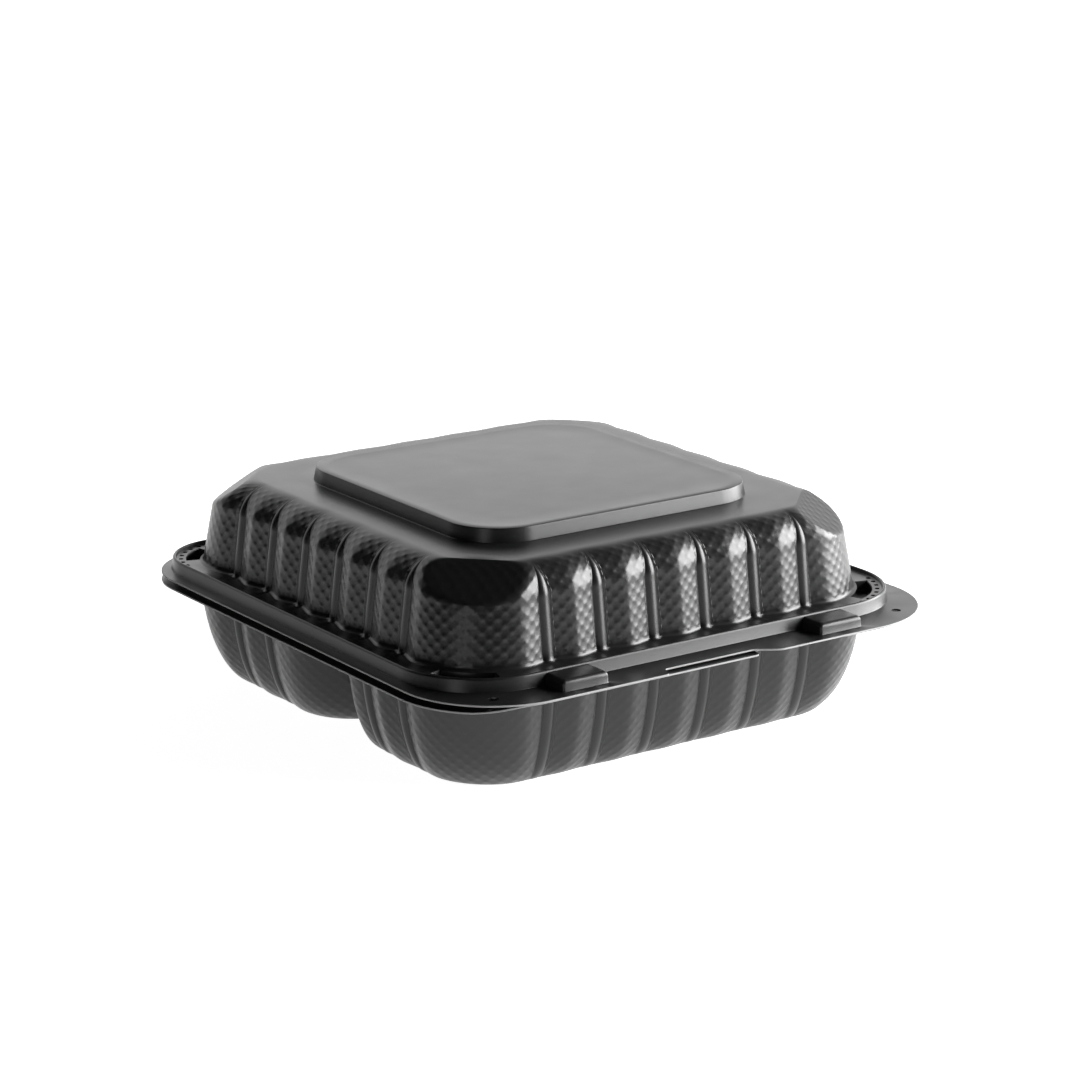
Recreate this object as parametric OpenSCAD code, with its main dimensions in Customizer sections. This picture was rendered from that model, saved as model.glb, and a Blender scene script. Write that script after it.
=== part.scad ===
/* [Plan] */
// Distance across the lid bead from left to right
bead_width = 194; // [180:1:230]
// Distance across the lid bead from front to back
bead_depth = 196.6; // [180:0.2:230]
// Outer radius of the lid bead at its two front corners
bead_corner = 30; // [24:1:36]
// Outer radius of the lid bead at its two back corners
bead_back_corner = 23; // [20:1:32]
// Flange outside the bead at the left and right
side_flange = 4.7; // [3:0.1:8]
// Flange outside the bead at the hinge
back_flange = 5.5; // [5:0.1:9]
// Flange outside the bead at the front lip
front_flange = 13.5; // [12:0.5:18]
// Corner radius of the flange beside the hinge
back_corner = 27.5; // [16:0.5:30]
// Corner radius of the flange at the front lip
front_corner = 34; // [26:1:40]

/* [Sheet and gaps] */
// Thickness of the formed sheet
sheet = 0.6; // [0.5:0.05:0.9]
// Space between the two flanges when the box is shut
flange_gap = 2.5; // [2:0.1:4]
// Space between the base bead and the lid bead around it
nest_clearance = 0.4; // [0.3:0.05:0.6]
// Space under the lid where its lip comes down near the base lip
lip_clearance = 0.6; // [0.4:0.1:1]

/* [Lid] */
// Height of the lid bead above the lid flange
bead_height = 4.6; // [4:0.1:7]
// How far the strip inside the bead lies below the bead
strip_drop = 1.2; // [0.8:0.1:2]
// Width of the bead top
bead_top = 1.6; // [1.2:0.1:2.4]
// Width of the step from the bead to the foot of the dome
strip_width = 10.3; // [9:0.1:14]
// Height of the shoulder above the lid flange
dome_height = 35; // [28:1:60]
// Radius of the two front corners of the dome at its foot
dome_corner = 28; // [20:1:30]
// Radius of the two back corners of the dome at its foot
dome_back_corner = 21; // [18:1:30]
// Lean of the dome wall, in millimetres for each millimetre of height
dome_lean = 0.135; // [0.08:0.005:0.2]
// Height of the round between the dome wall and the shoulder
crown_height = 11; // [7:0.5:14]
// How far that round runs in over the shoulder
crown_run = 11; // [7:0.5:14]
// How far the flat at each dome corner comes down from the shoulder
facet_drop = 10.5; // [6:0.5:14]
// How far that flat runs in from the corner
facet_run = 15.5; // [10:0.5:20]
// Width of the raised panel
panel_width = 119; // [80:1:130]
// Height of the raised panel above the shoulder
panel_rise = 4.8; // [2:0.1:8]
// Corner radius of the raised panel
panel_corner = 20; // [10:1:30]

/* [Base] */
// Height of the base flange above the table
base_height = 36; // [28:1:60]
// Width of the base bead
base_bead_width = 2.8; // [2.4:0.1:4]
// How far the compartment walls stand outside the foot of the dome wall
cup_overhang = 1.3; // [0:0.1:2]
// Radius of the two front corners of the compartments
cup_corner = 25; // [18:1:30]
// Radius of the two back corners of the compartments
cup_back_corner = 22; // [18:1:30]
// Lean of the compartment walls, in millimetres for each millimetre of depth
cup_lean = 0.1; // [0.06:0.01:0.25]
// Lean of the walls beside a divider, as a share of the lean of the outer walls
divider_lean = 0.7; // [0.3:0.05:1]
// Height of the straight part of a compartment wall
cup_straight = 9; // [4:0.5:14]
// How far the rounded lower wall runs in under a compartment
cup_round_run = 7.5; // [5:0.5:18]
// Corner radius of a compartment beside a divider
divider_corner = 20; // [12:1:24]
// Distance of the cross divider in front of the middle
divider_forward = 7; // [0:1:20]
// Width of the top of a divider
divider_top = 3.2; // [2.4:0.1:8]

/* [Ribs] */
// Distance from rib to rib along a wall
rib_pitch = 21.25; // [18:0.25:26]
// Width of a rib
rib_width = 4.2; // [3:0.1:6]
// How far a rib stands out of its groove
rib_rise = 0.9; // [0.5:0.1:1.5]
// How far a bay swells out between two ribs
bay_rise = 2.2; // [1:0.1:3]

/* [Front] */
// Distance of each latch from the middle
latch_offset = 52.5; // [40:0.5:62]
// Width of a latch
latch_width = 18; // [12:0.5:24]
// How far a latch stands out over the front flange
latch_reach = 9.6; // [8:0.1:10]
// Height of a latch above the lid flange
latch_height = 3.9; // [3:0.1:4.5]
// Space between the latch and the tongue of the base inside it
latch_clearance = 0.5; // [0.4:0.05:0.8]
// Distance from the middle to the left end of the opening notch in the lid lip
notch_left = 20; // [15:0.5:25]
// Distance from the middle to the right end of that notch
notch_right = 14.5; // [10:0.5:20]
// Depth of that notch
notch_depth = 5; // [3:0.1:6]
// Depth of the finger recess in the base lip
recess_depth = 7; // [5:0.1:8]
// Length of the finger recess in the base lip
recess_length = 30; // [20:1:34]
// Diameter of the hole in each front corner of the lid flange
hole_diameter = 3.5; // [2.5:0.1:5]
// Distance of each corner hole from the middle
hole_offset = 83; // [78:0.5:86]
// Distance of each corner hole behind the front lip
hole_setback = 11.5; // [9:0.5:14]

/* [Hinge] */
// Radius of the rolled crease on the hinge line
crease_radius = 0.5; // [0.4:0.05:0.8]
// Length of the hinge along the back
hinge_length = 140; // [100:1:150]
// Space between the crease and the edge of the lid
crease_clearance = 0.3; // [0.3:0.05:0.5]

/* [Hidden] */
$fn = 64;
eps = 0.2;
quarter = 90;
diagonal = sqrt(2);

// Levels: the base flange top, the lid flange underside and top, and the hinge line
lid_under = base_height + flange_gap;
lid_top = lid_under + sheet;
hinge_z = base_height + flange_gap / 2;
strip_top = lid_top + bead_height - strip_drop;
shoulder_z = lid_top + dome_height;
panel_z = shoulder_z + panel_rise;

// Plan: half sizes of the bead, of the ribbed walls and of the base bead
bead_x = bead_width / 2;
bead_y = bead_depth / 2;
wall_x = bead_x - strip_width;
wall_y = bead_y - strip_width;
front_reach = bead_y + front_flange;
back_reach = bead_y + back_flange;
centre_y = (front_reach - back_reach) / 2;
base_bead_in = sheet + nest_clearance;
base_bead_top = strip_top - sheet - nest_clearance;
lip_z = lid_under - lip_clearance;
cup_x = wall_x + cup_overhang;
cup_y = wall_y + cup_overhang;

// The hinge: its line, and the edge where the flanges end and the strips to it begin
crease_y = bead_y + back_flange - crease_radius;
strip_run = 2.6;
flange_back = crease_y - strip_run;
crease_gap = crease_radius + crease_clearance;

// The base lip: set back behind the lid lip, raised between two ramps, with a finger recess
lip_setback = 2.5;
ramp_out = 93;
ramp_in = 73;
apron_from = 70;
recess_gap = 3.5;
recess_from = notch_right + recess_gap;
tongue_in = sheet + latch_clearance;
tongue_top = lid_top + latch_height - tongue_in;

// Ribs: as many as fit on the straight part of the shorter wall
largest_corner = max(dome_corner, dome_back_corner);
rib_pairs = floor((min(wall_x, wall_y) - largest_corner - rib_width / 2) / rib_pitch + 0.5);
bay_width = rib_pitch - rib_width;
bay_steps = 4;
corner_steps = 10;
crown_steps = 4;
round_steps = 5;

// Pockets in the lid corners, clear of the base bead as the lid swings
pocket_clearance = 1.2;
pocket_inset = base_bead_in + base_bead_width + pocket_clearance;
pocket_from = 18;
pocket_to = 72;
pocket_end = 1.5;

// How far out a bay stands at a distance d from its edge
function lobe(d) = let (f = min(1, d / (bay_width / 2))) bay_rise * (1 - (1 - f) * (1 - f));

// Places of the ribs along a wall, from one end to the other
function rib_places() = [for (k = [-rib_pairs : rib_pairs - 1]) (k + 0.5) * rib_pitch];

// Places of the ribs that lie between two points of a wall
function ribs_between(low, high) = [for (u = rib_places()) if (u > low && u < high) u];

// Points along a ribbed stretch: place and how far out, from the first rib's edge to the last rib's edge
function run(ribs) = [
    for (i = [0 : len(ribs) - 1])
        for (p = concat(
            [[ribs[i] - rib_width / 2, 0], [ribs[i], rib_rise], [ribs[i] + rib_width / 2, 0]],
            i == len(ribs) - 1 ? [] : [
                for (j = [1 : bay_steps - 1])
                    let (d = bay_width * j / bay_steps)
                    [ribs[i] + rib_width / 2 + d, lobe(min(d, bay_width - d))]
            ]
        )) p
];

// A stretch walked the other way
function turned(points) = [for (i = [len(points) - 1 : -1 : 0]) [-points[i][0], points[i][1]]];

// Point of side number q of a rectangle, at place u along the walk and distance out from it
function side_point(q, reach, u, out) =
    q == 0 ? [reach + out, u] :
    q == 1 ? [-u, reach + out] :
    q == 2 ? [-reach - out, -u] :
    [u, -reach - out];

// Points round a corner, from the last point of one side to the first point of the next
function corner(centre, r, start, lead, tail, ribbed_before, ribbed_after, scale) = [
    let (arc = r * PI / 2, length = lead + arc + tail)
    for (i = [1 : corner_steps - 1])
        let (
            d = length * i / corner_steps,
            turn = start + quarter * max(0, min(1, (d - lead) / arc)),
            along = d < lead ? d - lead : max(0, d - lead - arc),
            rest = length - d,
            before = ribbed_before ? lobe(d) : bay_rise * max(0, min(1, (d - lead) / arc)),
            after = ribbed_after ? lobe(rest) : bay_rise * max(0, min(1, (rest - tail) / arc)),
            out = r + scale * min(before, after)
        )
        [
            centre[0] + out * cos(turn) - along * sin(turn),
            centre[1] + out * sin(turn) + along * cos(turn)
        ]
];

// One closed outline: a box [left, front, right, back] with the given corner radii and side stretches.
// Sides run counterclockwise from the right, and each stretch is a list of place and swell.
function outline(box, radii, runs, ribbed, scale) =
    let (
        reach = [box[2], box[3], -box[0], -box[1]],
        // place along the walk where each side ends, seen from the origin
        ends = [box[3], -box[0], -box[1], box[2]],
        begins = [box[1], -box[2], -box[3], box[0]]
    )
    [
        for (q = [0 : 3])
            let (
                next = (q + 1) % 4,
                last = runs[q][len(runs[q]) - 1][0],
                first = runs[next][0][0],
                r = min(radii[q], ends[q] - last - eps, first - begins[next] - eps),
                corner_at = side_point(q, reach[q] - r, ends[q] - r, 0)
            )
            for (p = concat(
                [for (s = runs[q]) side_point(q, reach[q], s[0], s[1] * scale)],
                corner(corner_at, r, q * quarter, ends[q] - r - last, first - begins[next] - r,
                    ribbed[q], ribbed[next], scale)
            )) p
    ];

// Moves what lies outside the flat at a dome corner back onto it: limit is the place of the flat,
// measured outward along the diagonal from the square corner of the walls
function clipped(p, limit) =
    let (over = (abs(p[0]) - wall_x + abs(p[1]) - wall_y) / diagonal - limit, move = over / diagonal)
    over > 0 ? [p[0] - sign(p[0]) * move, p[1] - sign(p[1]) * move] : p;

function inset_box(box, by) = [box[0] + by[0], box[1] + by[1], box[2] - by[2], box[3] - by[3]];

function raised(points, z) = [for (p = points) [p[0], p[1], z]];

// A closed solid through outlines of equal length, listed from the bottom up
module loft(rings) {
    count = len(rings[0]);
    levels = len(rings);
    top_start = (levels - 1) * count;
    floor_middle = levels * count;
    roof_middle = floor_middle + 1;
    ones = [for (i = [1 : count]) 1];
    middles = [ones * rings[0] / count, ones * rings[levels - 1] / count];
    points = concat([for (ring = rings) for (p = ring) p], middles);
    sides = [
        for (i = [0 : levels - 2])
            for (j = [0 : count - 1])
                let (a = i * count + j, b = i * count + (j + 1) % count)
                for (f = [[a, a + count, b + count], [a, b + count, b]]) f
    ];
    floor_faces = [for (j = [0 : count - 1]) [floor_middle, j, (j + 1) % count]];
    roof_faces = [for (j = [0 : count - 1]) [roof_middle, top_start + (j + 1) % count, top_start + j]];
    polyhedron(points = points, faces = concat(sides, floor_faces, roof_faces));
}

// Dome: how far in the wall stands at the height where the crown starts, and where the flats start
crown_z = shoulder_z - crown_height;
crown_inset = dome_lean * (crown_z - strip_top);
flat_z = shoulder_z - facet_drop;

function flat_start(r) = bay_rise - (diagonal - 1) * r - diagonal * dome_lean * (flat_z - strip_top);

function flat_limit(z, r) = z > flat_z ? flat_start(r) - facet_run * (z - flat_z) / facet_drop : 0;

// One outline of the dome, let in by skin for the inner face
function dome_ring(z, inset, scale, skin) =
    let (
        by = inset + skin,
        box = [-wall_x + by, -wall_y + by, wall_x - by, wall_y - by],
        ribs = run(rib_places()),
        radii = [dome_back_corner - skin, dome_back_corner - skin, dome_corner - skin, dome_corner - skin],
        points = outline(box, radii, [ribs, ribs, ribs, ribs], [true, true, true, true], scale)
    )
    raised(
        [for (p = points) clipped(p, flat_limit(z, p[1] > 0 ? dome_back_corner : dome_corner) - skin)],
        z - skin * (1 - scale)
    );

function dome_rings(foot, skin) = concat(
    [dome_ring(foot, 0, 1, skin)],
    [
        for (k = [0 : crown_steps])
            let (a = quarter * k / crown_steps)
            dome_ring(crown_z + crown_height * sin(a), crown_inset + crown_run * (1 - cos(a)),
                1 - pow(k / crown_steps, 2), skin)
    ]
);

// Compartments: a box [left, front, right, back], which of its sides are outer walls, and how they run in
function cup_depth(a) = cup_straight + (base_height - cup_straight) * sin(a);
function cup_inset(a) = cup_lean * cup_depth(a) + cup_round_run * (1 - cos(a));

function cup_runs(box, outer) = [
    for (q = [0 : 3])
        let (
            low = q % 2 == 0 ? box[1] : box[0],
            high = q % 2 == 0 ? box[3] : box[2],
            keep_low = (q % 2 == 0 ? outer[3] : outer[2]) ? 0 : divider_corner + rib_width / 2,
            keep_high = (q % 2 == 0 ? outer[1] : outer[0]) ? 0 : divider_corner + rib_width / 2,
            ribs = ribs_between(low + keep_low, high - keep_high),
            middle = (low + high) / 2,
            points = outer[q] ? run(ribs) : [[middle, 0]]
        )
        q == 0 || q == 3 ? points : turned(points)
];

function cup_ring(box, outer, z, inset, scale, skin) =
    let (
        side = [for (q = [2, 3, 0, 1]) (outer[q] ? 1 : divider_lean) * inset + skin],
        outer_radii = [cup_back_corner, cup_back_corner, cup_corner, cup_corner],
        radii = [
            for (q = [0 : 3])
                (outer[q] && outer[(q + 1) % 4] ? outer_radii[q] : divider_corner) - skin
        ]
    )
    raised(outline(inset_box(box, side), radii, cup_runs(box, outer), outer, scale), z);

function cup_rings(box, outer, top, skin) = concat(
    [
        for (k = [round_steps : -1 : 0])
            let (a = quarter * k / round_steps)
            cup_ring(box, outer, base_height - cup_depth(a) + skin * sin(a), cup_inset(a),
                1 - pow(k / round_steps, 3), skin)
    ],
    [cup_ring(box, outer, top, 0, 1, skin)]
);

// The compartments: the large one at the front, two small ones at the hinge side
divide_y = -divider_forward;
half_top = divider_top / 2;
CUPS = [
    [[-cup_x, -cup_y, cup_x, divide_y - half_top], [true, false, true, true]],
    [[-cup_x, divide_y + half_top, -half_top, cup_y], [false, true, true, false]],
    [[half_top, divide_y + half_top, cup_x, cup_y], [true, true, false, false]]
];

// Flat outlines
module rounded_plan(box, front_r, back_r) {
    across = box[2] - box[0];
    translate([box[0], box[1] + front_r]) square([across, box[3] - back_r - box[1] - front_r]);
    translate([box[0] + front_r, box[1]]) square([across - 2 * front_r, front_r + eps]);
    translate([box[0] + back_r, box[3] - back_r - eps]) square([across - 2 * back_r, back_r + eps]);
    for (x = [box[0] + front_r, box[2] - front_r]) {
        translate([x, box[1] + front_r]) circle(r = front_r);
    }
    for (x = [box[0] + back_r, box[2] - back_r]) {
        translate([x, box[3] - back_r]) circle(r = back_r);
    }
}

// The outline of the bead, let in by some distance
module bead_plan(inset) {
    x = bead_x - inset;
    y = bead_y - inset;
    rounded_plan([-x, -y, x, y], bead_corner - inset, bead_back_corner - inset);
}

module flange_plan(front) {
    x = bead_x + side_flange;
    rounded_plan([-x, -front, x, flange_back], front_corner, back_corner);
}

module slab(low, high) {
    translate([0, 0, low]) linear_extrude(height = high - low) children();
}

// A cut in from the front lip, with an S curve at each end
module lip_cut(left, right, lip, depth, left_curve, right_curve) {
    steps = 6;
    s_left = [
        for (i = [0 : steps])
            let (f = i / steps)
            [left - left_curve * (1 - f), -lip + depth * (1 - cos(180 * f)) / 2]
    ];
    s_right = [
        for (i = [steps : -1 : 0])
            let (f = i / steps)
            [right + right_curve * (1 - f), -lip + depth * (1 - cos(180 * f)) / 2]
    ];
    polygon(concat([[left - left_curve, -lip - 1]], s_left, s_right, [[right + right_curve, -lip - 1]]));
}

module for_both_sides() {
    children();
    mirror([1, 0, 0]) children();
}

// The plan of the pockets at the back, or with front = 1 at the front: parts of circles about the
// bead's corner centres, let in from the bead, outside a circle that stands foot outside the dome's corner
module pocket_plans(front, inset, trim, foot) {
    bead_r = [bead_back_corner, bead_corner][front];
    dome_r = [dome_back_corner, dome_corner][front];
    centre = [bead_x - bead_r, bead_y - bead_r];
    from = pocket_from + trim;
    to = pocket_to - trim;
    reach = 2 * bead_r;
    start = reach * [cos(from), sin(from)];
    end = reach * [cos(to), sin(to)];
    for_both_sides() mirror([0, front, 0]) difference() {
        intersection() {
            translate(centre) circle(r = bead_r - inset);
            translate(centre) polygon([[0, 0], start, [reach, reach], end]);
        }
        translate([wall_x - dome_r, wall_y - dome_r]) circle(r = dome_r + foot);
    }
}

// A latch box, or the tongue inside it: let in from the latch's sides and front, and from the bead
module latch_block(inset, bead_inset, low, high) {
    translate([latch_offset - latch_width / 2 + inset, -bead_y - latch_reach + inset, low])
        cube([latch_width - 2 * inset, latch_reach - inset - bead_inset, high - low]);
}

// The crease line runs along X, and a strip slopes to it from the edge of each flange
module hinge_strip(profile) {
    translate([-hinge_length / 2, 0, 0])
        rotate([90, 0, 90])
            linear_extrude(height = hinge_length)
                polygon(profile);
}

module lid_panel(inset, low, high) {
    x = panel_width / 2 - inset;
    slab(low, high) rounded_plan([-x, -x, x, x], panel_corner - inset, panel_corner - inset);
}

module lid_rim() {
    pocket_wall = pocket_inset + sheet;
    pocket_foot = bay_rise - sheet;
    difference() {
        union() {
            slab(lid_under, lid_top) difference() {
                flange_plan(front_reach);
                lip_cut(-notch_left, notch_right, front_reach, notch_depth, 3, 11);
            }
            slab(lid_under, lid_top + bead_height) bead_plan(0);
            for_both_sides() latch_block(0, 0, lid_under, lid_top + latch_height);
        }
        // the sunken strip on top, and the hollow below
        slab(strip_top, strip_top + bead_height) bead_plan(bead_top);
        slab(lid_under - 1, strip_top - sheet) bead_plan(sheet);
        for_both_sides() latch_block(sheet, 0, lid_under - 1, lid_top + latch_height - sheet);
        for_both_sides() {
            translate([hole_offset, -front_reach + hole_setback, lid_under - 1])
                cylinder(d = hole_diameter, h = sheet + 2);
        }
        for (front = [0, 1]) {
            slab(lid_under - 1, strip_top + 1) pocket_plans(front, pocket_wall, 0, pocket_foot);
        }
    }
    for (front = [0, 1]) difference() {
        slab(lid_under, strip_top) pocket_plans(front, pocket_inset, -pocket_end, pocket_foot);
        slab(lid_under + sheet, strip_top + 1) pocket_plans(front, pocket_wall, 0, bay_rise - sheet / 4);
    }
}

module lid() {
    color([0.05, 0.05, 0.055])
        translate([0, centre_y, 0]) {
            difference() {
                union() {
                    lid_rim();
                    loft(dome_rings(strip_top - sheet / 2, 0));
                    lid_panel(0, shoulder_z - sheet, panel_z);
                }
                loft(dome_rings(strip_top - sheet - 1, sheet));
                lid_panel(sheet, shoulder_z - 2 * sheet - 1, panel_z - sheet);
            }
            hinge_strip([
                [flange_back - eps, lid_under],
                [flange_back - eps, lid_top],
                [crease_y - crease_gap, hinge_z + crease_clearance + sheet],
                [crease_y - crease_gap, hinge_z + crease_clearance]
            ]);
        }
}

// The front of the base flange, which rises towards the lid lip between its corners
module base_apron() {
    x = bead_x + side_flange + 1;
    rise = [[-x, base_height], [-ramp_out, base_height], [-ramp_in, lip_z]];
    top = concat(rise, [for (i = [2 : -1 : 0]) [-rise[i][0], rise[i][1]]]);
    under = [for (i = [5 : -1 : 0]) [top[i][0], top[i][1] - sheet]];
    difference() {
        intersection() {
            translate([0, -apron_from, 0])
                rotate([90, 0, 0])
                    linear_extrude(height = front_reach)
                        polygon(concat(top, under));
            slab(0, lid_top) base_plan();
        }
        slab(0, lid_top) bead_plan(base_bead_in + sheet / 2);
    }
}

module base_plan() {
    difference() {
        flange_plan(front_reach - lip_setback);
        lip_cut(recess_from, recess_from + recess_length, front_reach - lip_setback,
            recess_depth - lip_setback, 2, 6);
    }
}

module base_rim() {
    inner = base_bead_in + base_bead_width;
    difference() {
        union() {
            difference() {
                slab(base_height - sheet, base_height) base_plan();
                translate([-front_reach, -2 * front_reach - apron_from, base_height - 2 * sheet])
                    cube([2 * front_reach, 2 * front_reach, 4 * sheet]);
            }
            slab(base_height - sheet, base_bead_top) bead_plan(base_bead_in);
            base_apron();
            for_both_sides() latch_block(tongue_in, latch_clearance, lip_z - sheet, tongue_top);
        }
        slab(base_height, base_bead_top + 1) bead_plan(inner);
        slab(base_height - sheet - 1, base_bead_top - sheet) difference() {
            bead_plan(base_bead_in + sheet);
            bead_plan(inner - sheet);
        }
        for_both_sides()
            latch_block(tongue_in + sheet, latch_clearance + sheet, lip_z - sheet - 1, tongue_top - sheet);
    }
}

module base() {
    color([0.05, 0.05, 0.055])
        translate([0, centre_y, 0]) {
            difference() {
                union() {
                    base_rim();
                    for (cup = CUPS) loft(cup_rings(cup[0], cup[1], base_height - sheet / 2, 0));
                }
                for (cup = CUPS) loft(cup_rings(cup[0], cup[1], base_height + 1, sheet));
            }
            hinge_strip([
                [flange_back - eps, base_height - sheet],
                [flange_back - eps, base_height],
                [crease_y, hinge_z],
                [crease_y, hinge_z - crease_radius]
            ]);
            translate([-hinge_length / 2, crease_y, hinge_z])
                rotate([0, 90, 0])
                    cylinder(r = crease_radius, h = hinge_length);
        }
}

base();
lid();
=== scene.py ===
"""Looks of a black, ribbed, hinged take-out container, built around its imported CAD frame.

All sizes in the size classes are millimetres in the CAD's bead-centred plan. They are turned
into metres in the row frame when a sheet becomes a Blender mesh.
"""

import logging
import math
from collections.abc import Callable, Sequence
from dataclasses import dataclass, field
from enum import IntEnum

import bpy
import numpy as np
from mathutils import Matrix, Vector
from mathutils.geometry import delaunay_2d_cdt

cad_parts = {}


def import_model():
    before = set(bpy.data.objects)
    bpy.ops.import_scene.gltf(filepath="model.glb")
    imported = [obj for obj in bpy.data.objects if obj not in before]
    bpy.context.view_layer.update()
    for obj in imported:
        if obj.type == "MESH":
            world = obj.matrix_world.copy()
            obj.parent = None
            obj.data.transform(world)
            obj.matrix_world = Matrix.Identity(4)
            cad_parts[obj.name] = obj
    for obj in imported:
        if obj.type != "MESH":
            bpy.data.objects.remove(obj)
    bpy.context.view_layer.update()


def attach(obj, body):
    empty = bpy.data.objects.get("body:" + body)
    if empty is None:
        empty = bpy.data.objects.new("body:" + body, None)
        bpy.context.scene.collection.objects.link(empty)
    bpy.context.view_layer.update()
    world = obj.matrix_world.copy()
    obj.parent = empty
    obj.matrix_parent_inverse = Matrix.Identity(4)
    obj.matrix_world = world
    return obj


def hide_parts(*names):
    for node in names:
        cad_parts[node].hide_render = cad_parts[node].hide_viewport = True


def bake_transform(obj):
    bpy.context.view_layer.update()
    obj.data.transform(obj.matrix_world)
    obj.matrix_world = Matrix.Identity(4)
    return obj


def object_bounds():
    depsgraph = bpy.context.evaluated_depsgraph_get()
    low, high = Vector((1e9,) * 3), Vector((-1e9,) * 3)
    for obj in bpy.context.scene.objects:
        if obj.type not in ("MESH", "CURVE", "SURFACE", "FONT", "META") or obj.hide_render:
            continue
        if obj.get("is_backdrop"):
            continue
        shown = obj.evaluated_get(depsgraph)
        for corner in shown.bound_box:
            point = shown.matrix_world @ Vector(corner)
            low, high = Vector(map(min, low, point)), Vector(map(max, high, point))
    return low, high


LOG = logging.getLogger("container")
MILLIMETRE = 0.001
EDGE_ROUND = 0.12
PEBBLE = "pebble"

Colour = tuple[float, float, float]
Point = tuple[float, float, float]
Box = tuple[float, float, float, float]
Profile = Sequence[tuple[float, float]]
Heights = Callable[[np.ndarray], np.ndarray] | float


class Side(IntEnum):
    """The four sides of a plan, counterclockwise from the right."""

    RIGHT = 0
    BACK = 1
    LEFT = 2
    FRONT = 3


@dataclass(frozen=True)
class PlanSizes:
    """Sizes seen from above: halves to the right and to the back, radii at the front and the back."""

    bead: tuple[float, float] = (97.0, 98.3)
    bead_radii: tuple[float, float] = (30.0, 23.0)
    wall: tuple[float, float] = (86.7, 88.0)
    wall_radii: tuple[float, float] = (28.0, 21.0)
    cup: tuple[float, float] = (88.0, 89.3)
    cup_radii: tuple[float, float] = (25.0, 22.0)
    flange_half: float = 101.7
    flange_front: float = 111.8
    flange_back: float = 100.7
    flange_radii: tuple[float, float] = (34.0, 27.5)
    centre_y: float = 4.0


@dataclass(frozen=True)
class LevelSizes:
    """Heights above the table, and the sheet's thickness."""

    sheet: float = 0.6
    base_top: float = 36.0
    base_bead_top: float = 41.5
    base_lip: float = 37.9
    lid_under: float = 38.5
    lid_top: float = 39.1
    strip_top: float = 42.5
    bead_top: float = 43.7
    crown_start: float = 63.1
    shoulder: float = 74.1
    panel_top: float = 78.9
    hinge: float = 37.25


PLAN = PlanSizes()
LEVEL = LevelSizes()


@dataclass(frozen=True)
class WallPattern:
    """The narrow ribs and the swelling bays between them, with how finely they are meshed."""

    places: tuple[float, ...] = (-53.125, -31.875, -10.625, 10.625, 31.875, 53.125)
    rib_width: float = 4.2
    rib_rise: float = 0.9
    bay_rise: float = 2.2
    half_bay: float = 8.525
    ridge_round: float = 0.16
    pebble_edge: float = 0.9
    rib_points: int = 8
    bay_points: int = 16
    lead_points: int = 6
    arc_points: int = 28

    def lobe(self, distance: np.ndarray) -> np.ndarray:
        """How far out a bay stands at a distance from its edge.

        Args:
            distance: Distances from the bay's edge, in millimetres.

        Returns:
            The swell at each distance.
        """
        return self.bay_rise * self.tent(np.clip(distance / self.half_bay, 0.0, 1.0))

    def tent(self, share: np.ndarray) -> np.ndarray:
        """A bay's cross-section: two flat slopes that meet in a rounded ridge.

        Args:
            share: Place from 0 at the bay's edge to 1 on its ridge.

        Returns:
            The swell as a share of its height.
        """
        bend = self.ridge_round
        return 1 - (np.sqrt((1 - share) ** 2 + bend**2) - bend) / (math.sqrt(1 + bend**2) - bend)

    def cap(self, t: np.ndarray) -> np.ndarray:
        """Cross-section of a rib.

        Args:
            t: Places across the rib from -1 to 1.

        Returns:
            How far the rib stands out there.
        """
        half = self.rib_width / 2
        radius = (half**2 + self.rib_rise**2) / (2 * self.rib_rise)
        return np.sqrt(radius**2 - (half * t) ** 2) - (radius - self.rib_rise)


def smooth(value: np.ndarray | float) -> np.ndarray:
    """Smoothstep of a value clipped to 0..1.

    Args:
        value: The value or values.

    Returns:
        The eased values.
    """
    t = np.clip(value, 0.0, 1.0)
    return t * t * (3.0 - 2.0 * t)


@dataclass
class Ring:
    """One closed outline: points, place along each bay, and where the pebbles are."""

    xy: np.ndarray
    along: np.ndarray
    mask: np.ndarray

    def marks(self, climb: float, share: float) -> np.ndarray:
        """What the pebbles need to know at each point.

        Args:
            climb: Distance up the wall.
            share: Share of the pebbles' full height.

        Returns:
            Bay place, height place and mask, one row a point.
        """
        return np.column_stack([self.along, np.full(len(self.xy), climb), self.mask * share])


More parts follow.
